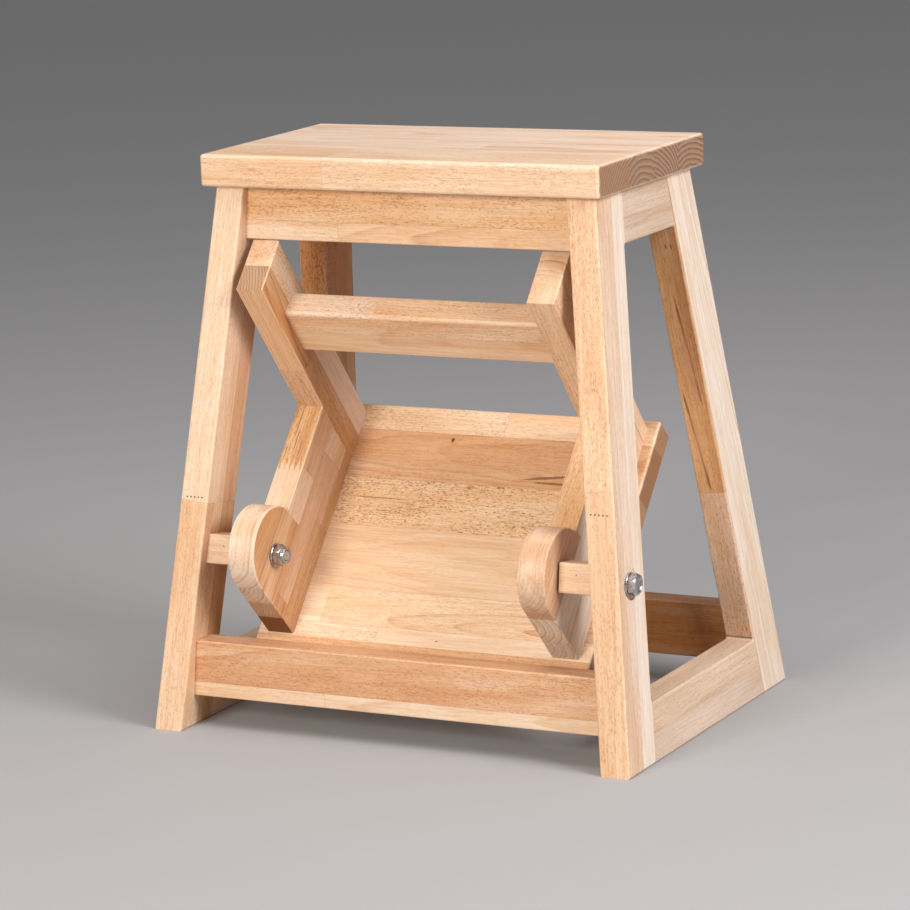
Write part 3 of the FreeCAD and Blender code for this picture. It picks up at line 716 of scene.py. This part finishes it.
wooden("step_board", "tread_beech", PIVOT + OFF_BOARD * BOARD_MIDDLE, X, UP_BOARD, [
    (-43, [(None, S("brown"))]),
    (-27, [(-45, S("cream", flecks=0.5)), (None, S("pale", flecks=0.15))]),
    (8, [(-104, S("pale", flecks=0.1)),
         (None, S("peach", (-10, 0), (0.0, 0.075), rings=1.15, width=1.9, flecks=0.45))]),
    (70, [(None, S("peach", (0, -60), (0.0, 0.012), flecks=0.25, rings=0.45))]),
    (118.5, [(None, S("dense", (0, -90), (0.0, 0.005)))]),
    (168, [(None, S("brown", (6, -40), (0.01, 0.03), flecks=0.45, streaks=0.3))]),
    (None, [(17, S("cream", flecks=0.65)), (None, S("peach", flecks=0.4))]),
], [
    ("halo", on_step(-31, 158, BOARD_FACE), UP_BOARD, 8.5, 6.0),
    ("core", on_step(-31, 162, BOARD_FACE), UP_BOARD, 2.6, 1.9),
    ("halo", on_step(100, 128, BOARD_FACE), X, 62, 6.5),
    ("streak", on_step(70, 130, BOARD_FACE), (1, 0.09, 0.1), 28, 1.8),
    ("streak", on_step(112, 133, BOARD_FACE), (1, 0.03, 0.03), 26, 2.4),
    ("streak", on_step(84, 125, BOARD_FACE), X, 32, 1.4),
    ("streak", on_step(122, 122, BOARD_FACE), (1, -0.03, -0.03), 24, 1.9),
    ("streak", on_step(-85, 99, BOARD_FACE), X, 34, 0.5),
    ("core", on_step(14, -36, BOARD_FACE), X, 1.0, 0.8),
], TREAD_PAINTED_LIGHT)


def finger_lines(joint, spot):
    """The dark glue lines down the flanks of a finger joint."""
    knots = joint.knots()
    lines = []
    for d0, d1 in zip(knots, knots[1:]):
        start, stop = spot(joint.at(d0), d0), spot(joint.at(d1), d1)
        lines.append(("dot", tuple((start + stop) / 2), tuple(stop - start),
                      (stop - start).length / 2, 0.30))
    return lines


def on_stretcher_top(x, d):
    return ARM_REAR + Vector((x, 0, 0)) + ARM * STRETCHER_TOP + Vector(X).cross(ARM) * d


STRETCHER_JOINT = Fingers(-44, 13, 12.5, 37.5, 5)
wooden("step_stretcher", "step_beech", ARM_REAR, X, ARM, [
    (-75, [(None, S("peach", flecks=0.2))]),
    (None, [(STRETCHER_JOINT, S("rose", flecks=0.8)),
            (None, S("peach", flecks=0.6))]),
], finger_lines(STRETCHER_JOINT, on_stretcher_top))

# on the left bracket the broad inner faces take the darker honey look: painted shade
BRACKET_STAVES = {
    "left": [
        (-57, [(60, S("amber", (0, -26), rings=1.2, flat="honey")), (None, S("honey"))]),
        (-45, [(60, S("amber", (0, -26), rings=1.2, flat="honey")),
               (117, S("tan")), (141, S("cream")), (None, S("tan"))]),
        (-22, [(-25, S("tan", (10, -30), rings=1.2, end=0.5, flat="honey")),
               (117, S("tan")), (141, S("cream")), (None, S("tan"))]),
        (1.0, [(41, S("rose", (14, -20), rings=1.1, width=1.5, end=0.3, flat="honey")),
               (87, S("rose")), (None, S("tan", streaks=0.5))]),
        (None, [(44, S("rose", (14, -20), rings=1.1, width=1.5, end=0.12, flat="honey")),
                (Fingers(88, 13, -13, 13, 5), S("cream", flecks=0.3)),
                (None, S("orange", flecks=0.8, streaks=0.6))]),
    ],
    "right": [
        (-45, [(60, S("white", (8, -26), rings=1.3, width=1.3, end=0.2)), (None, S("white"))]),
        (-8, [(None, S("white", (8, -26), rings=1.3, width=1.3, end=0.15))]),
        (1.0, [(44, S("tan", (14, -20), rings=0.9, width=1.3, end=0.3)), (None, S("white"))]),
        (None, [(44, S("tan", (14, -20), rings=0.9, width=1.3, end=0.15)),
                (None, S("orange", flecks=0.6, streaks=0.05))]),
    ],
}
# on the left step leg the broad faces take the darker honey look: painted shade
STEP_LEG_STAVES = {
    "left": [(26, [(-100, S("rose")), (None, S("cream", flecks=0.8, end=0.0))]),
             (None, [(-115, S("tan", flecks=0.6, flat="honey")),
                     (None, S("peach", (20, -70), rings=1.3, end=0.7, flat="honey"))])],
    "right": [(25, [(None, S("peach", (60, 0), rings=1.2, width=1.7, end=0.30))]),
              (None, [(None, S("peach", flecks=0.6, end=0.05))])],
}
CRACKS = {"left": [("streak", on_step(x, s, BRACKET_FRONT), UP_BOARD, half_length, half_width)
                   for x, s, half_length, half_width in (
                       (-144, 131, 19, 0.55), (-141, 112, 16, 0.6),
                       (-135, 104, 12, 0.4), (-148, 100, 10, 0.5))]}
for side, sx in (("left", -1), ("right", 1)):
    beside = Vector((sx * BRACKET_X, 0, 0))
    wooden(f"{side}_bracket", "step_beech", PIVOT + beside, UP_BOARD, OFF_BOARD,
           BRACKET_STAVES[side], CRACKS.get(side, ()))
    wooden(f"{side}_step_leg", "step_beech", ARM_REAR + beside, ARM, ARM_ACROSS,
           STEP_LEG_STAVES[side])

# dowels, hidden in their holes
for node, direction in (("side_frame_dowels", Y), ("cross_rail_dowels", X), ("seat_dowels", Z),
                        ("stretcher_dowels", X), ("bracket_dowels", ARM),
                        ("board_dowels", OFF_BOARD)):
    side_way = X if abs(direction[0]) < 0.5 else Y
    wooden(node, "dowel_beech", (0, 0, 0), direction, side_way, [(None, [(None, S("cream"))])])


# --------------------------------------------------------------------------
# Steel and nylon
# --------------------------------------------------------------------------

def zinc(name):
    material, n, shader = new_material(name)
    place = n.add("ShaderNodeTexCoord").outputs["Object"]
    cloud = n.noise(place, 220.0, 3.0, 0.6)
    scratch = n.noise(n.vector("MULTIPLY", place, (300.0, 2600.0, 2600.0)), 1.0, 2.0)
    colour = n.mix(n.span(cloud, 0.35, 0.65, 0.0, 1.0), (0.36, 0.37, 0.39), (0.60, 0.61, 0.62))
    colour = n.mix(n.mul(n.step(scratch, 0.58, 0.72), 0.4), colour, (0.22, 0.22, 0.23))
    n.put(shader.inputs["Base Color"], colour)
    n.put(shader.inputs["Roughness"], n.span(cloud, 0.3, 0.7, 0.22, 0.38))
    shader.inputs["Metallic"].default_value = 1.0
    bump = n.add("ShaderNodeBump", {"Height": n.plus(scratch, n.mul(cloud, 0.6)),
                                    "Strength": 0.12, "Distance": 0.0001})
    n.put(shader.inputs["Normal"], bump.outputs[0])
    return material


def nylon(name):
    material, n, shader = new_material(name)
    place = n.add("ShaderNodeTexCoord").outputs["Object"]
    cloud = n.noise(place, 500.0, 3.0)
    # mid grey: partly the insert's own colour, partly painted shade for the dark gap round the
    # bolt end
    colour = n.mix(cloud, (0.26, 0.27, 0.29), (0.38, 0.39, 0.41))
    n.put(shader.inputs["Base Color"], colour)
    n.put(shader.inputs["Roughness"], n.span(cloud, 0.3, 0.7, 0.38, 0.55))
    bump = n.add("ShaderNodeBump", {"Height": cloud, "Strength": 0.15, "Distance": 0.0001})
    n.put(shader.inputs["Normal"], bump.outputs[0])
    return material


# places along the pivot, out from the stool's middle, in mm
BOLT_TIP, NUT_SEAT, THREAD_END, SPACER_SEAT, HEAD_SEAT = 114.4, 123.7, 140.0, 152.3, 214.4
# radii in mm
BOLT_END_RADIUS, SHANK, THREAD_ROOT, WASHER_RADIUS, WASHER_BORE = 4.0, 4.98, 4.35, 10.0, 5.1
AXIS_RADIUS = 0.02       # the bolt's mesh runs back along its axis in a tube this thin
# other sizes in mm
HEX_FLATS, THREAD_PITCH, WASHER_THICKNESS = 17.0, 1.5, 2.0
TURNED_STEPS = 96
TURNED_SMOOTH_ANGLE = 32                                     # degrees
ROUND, HEX = False, True


def turned(name, side, profile, material):
    """A piece turned about the pivot's axis: (distance out, radius, ROUND or HEX)."""
    mesh_builder = bmesh.new()
    rings = []
    for x, radius, hexagon in profile:
        ring = []
        for k in range(TURNED_STEPS):
            angle = 2 * math.pi * k / TURNED_STEPS
            limit = radius
            if hexagon:
                turn = (angle + math.radians(30)) % math.radians(60) - math.radians(30)
                limit = min(radius, HEX_FLATS / 2 / math.cos(turn))
            ring.append(mesh_builder.verts.new((
                side * x * MM, (PIVOT.y + limit * math.cos(angle)) * MM,
                (PIVOT.z + limit * math.sin(angle)) * MM)))
        rings.append(ring)
    for ring, other in zip(rings, rings[1:] + rings[:1]):
        for k in range(TURNED_STEPS):
            mesh_builder.faces.new((ring[k], ring[k - 1], other[k - 1], other[k]))
    bmesh.ops.recalc_face_normals(mesh_builder, faces=mesh_builder.faces)
    mesh = bpy.data.meshes.new(name)
    mesh_builder.to_mesh(mesh)
    mesh_builder.free()
    smooth_by_angle(mesh, TURNED_SMOOTH_ANGLE)
    mesh.materials.append(material)
    return link(bpy.data.objects.new(name, mesh))


def washer(inner_face):
    outer_face = inner_face + WASHER_THICKNESS
    rim = WASHER_RADIUS - 0.4
    return [(inner_face, WASHER_BORE, ROUND), (inner_face, rim, ROUND),
            (inner_face + 0.35, WASHER_RADIUS, ROUND), (outer_face - 0.35, WASHER_RADIUS, ROUND),
            (outer_face, rim, ROUND), (outer_face, WASHER_BORE, ROUND)]


def bolt():
    """Thread tip, shaft, and a chamfered head with a shallow dish in its top."""
    profile = [(BOLT_TIP, AXIS_RADIUS, ROUND), (BOLT_TIP, BOLT_END_RADIUS, ROUND)]
    x = BOLT_TIP + 0.6
    while x < THREAD_END:
        profile += [(x, THREAD_ROOT, ROUND), (x + 0.60, SHANK, ROUND), (x + 0.80, SHANK, ROUND)]
        x += THREAD_PITCH
    profile += [(THREAD_END + 1.5, SHANK, ROUND), (HEAD_SEAT, SHANK, ROUND),
                (HEAD_SEAT, 8.1, ROUND), (HEAD_SEAT + 0.4, 8.1, ROUND)]
    profile += [(HEAD_SEAT + rise, radius, kind) for rise, radius, kind in (
        (0.6, 9.0, HEX), (1.0, 9.9, HEX), (4.5, 9.9, HEX), (5.1, 9.6, HEX), (5.8, 9.1, HEX),
        (6.4, 8.6, HEX), (6.9, 8.0, HEX), (7.0, 7.6, ROUND), (7.0, 6.6, ROUND),
        (6.7, 6.2, ROUND), (6.1, 5.9, ROUND), (6.0, AXIS_RADIUS, ROUND))]
    return profile


def behind(seat, points):
    """Points given by their depth from a seat towards the stool's middle."""
    return [(seat - depth, radius, kind) for depth, radius, kind in points]


NUT = behind(NUT_SEAT, [
    (0.0, 5.0, ROUND), (0.0, 8.1, ROUND), (0.3, 8.6, HEX), (0.9, 9.5, HEX), (1.4, 9.9, HEX),
    (5.5, 9.9, HEX), (6.1, 9.4, HEX), (6.7, 8.5, HEX), (7.0, 7.6, ROUND), (7.2, 7.2, ROUND),
    (9.1, 7.1, ROUND), (9.7, 6.9, ROUND), (10.0, 6.6, ROUND), (10.0, 6.35, ROUND),
    (9.7, 6.3, ROUND), (7.2, 6.3, ROUND), (7.2, 5.0, ROUND)])
INSERT = behind(NUT_SEAT, [
    (7.3, 5.0, ROUND), (7.3, 6.28, ROUND), (9.2, 6.28, ROUND), (9.5, 6.1, ROUND),
    (9.5, 5.3, ROUND), (9.2, 5.0, ROUND)])
STEEL, NYLON = zinc("zinc_steel_metal"), nylon("grey_nylon")
FITTINGS = {"pivot_bolt": (bolt(), STEEL), "lock_nut": (NUT, STEEL), "nut_insert": (INSERT, NYLON)}
for side, sx in (("left", -1), ("right", 1)):
    for kind, (profile, material) in FITTINGS.items():
        node = f"{side}_{kind}"
        piece = turned(node + "_turned", sx, profile, material)
        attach(piece, frame["nodes"][node]["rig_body"])
        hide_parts(node)
for node, inner_face in (("head_washers", HEAD_SEAT - WASHER_THICKNESS),
                         ("spacer_washers", SPACER_SEAT), ("nut_washers", NUT_SEAT)):
    for side, sx in (("left", -1), ("right", 1)):
        piece = turned(f"{node}_{side}", sx, washer(inner_face), STEEL)
        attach(piece, frame["nodes"][node]["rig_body"])
        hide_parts(node)


# --------------------------------------------------------------------------
# Floor, light and camera
# --------------------------------------------------------------------------

def studio():
    """A plain pale floor, with nothing behind the stool so it can be seen from all sides."""
    material, n, shader = new_material("studio_floor")
    place = n.add("ShaderNodeTexCoord").outputs["Object"]
    grain = n.noise(place, 60.0, 4.0, 0.6)
    colour = n.mix(n.mul(grain, 0.10), (0.385, 0.370, 0.360), (0.34, 0.33, 0.32))
    n.put(shader.inputs["Base Color"], colour)
    n.put(shader.inputs["Roughness"], n.span(grain, 0.3, 0.7, 0.75, 0.85))
    bump = n.add("ShaderNodeBump", {"Height": grain, "Strength": 0.05, "Distance": 0.0005})
    n.put(shader.inputs["Normal"], bump.outputs[0])
    reach = 40.0
    mesh = bpy.data.meshes.new("studio_floor")
    mesh.from_pydata([(-reach, -reach, 0), (reach, -reach, 0), (reach, reach, 0),
                      (-reach, reach, 0)], [], [(0, 1, 2, 3)])
    mesh.materials.append(material)
    link(bpy.data.objects.new("studio_floor", mesh))


def softbox(name, place, aim, size, watts, colour):
    data = bpy.data.lights.new(name, "AREA")
    data.shape = "RECTANGLE"
    data.size, data.size_y = size
    data.energy = watts
    data.color = colour
    lamp = link(bpy.data.objects.new(name, data))
    lamp.location = place
    lamp.rotation_euler = (Vector(aim) - Vector(place)).to_track_quat("-Z", "Y").to_euler()


studio()
softbox("key_left", (-0.45, -3.25, 1.35), (0, 0, 0.25), (1.1, 1.0), 86, (1.0, 0.97, 0.93))
softbox("fill_right", (2.55, -0.6, 1.75), (0, 0, 0.25), (1.2, 1.2), 76, (1.0, 1.0, 1.05))
softbox("overhead", (0.1, -0.2, 2.5), (0, 0, 0.3), (1.2, 1.2), 20, (1.0, 1.0, 1.06))

world = bpy.data.worlds.new("studio_world")
world.use_nodes = True
world.node_tree.nodes["Background"].inputs["Color"].default_value = (0.95, 0.97, 1.0, 1.0)
world.node_tree.nodes["Background"].inputs["Strength"].default_value = 0.32
bpy.context.scene.world = world
bpy.context.scene.view_settings.view_transform = "Standard"

CAMERA_PLACE = Vector((1.548, -2.948, 0.923))
CAMERA_AIM = Vector((-0.009, 0.0, 0.225))
CAMERA_ROLL = math.radians(-2.3)
camera_data = bpy.data.cameras.new("camera")
camera_data.lens = 153.7
camera_data.sensor_width = 36.0
camera_data.clip_end = 60.0
camera = link(bpy.data.objects.new("camera", camera_data))
facing = (CAMERA_AIM - CAMERA_PLACE).to_track_quat("-Z", "Y").to_matrix().to_4x4()
camera.matrix_world = (Matrix.Translation(CAMERA_PLACE) @ facing
                       @ Matrix.Rotation(CAMERA_ROLL, 4, "Z"))
bpy.context.scene.camera = camera
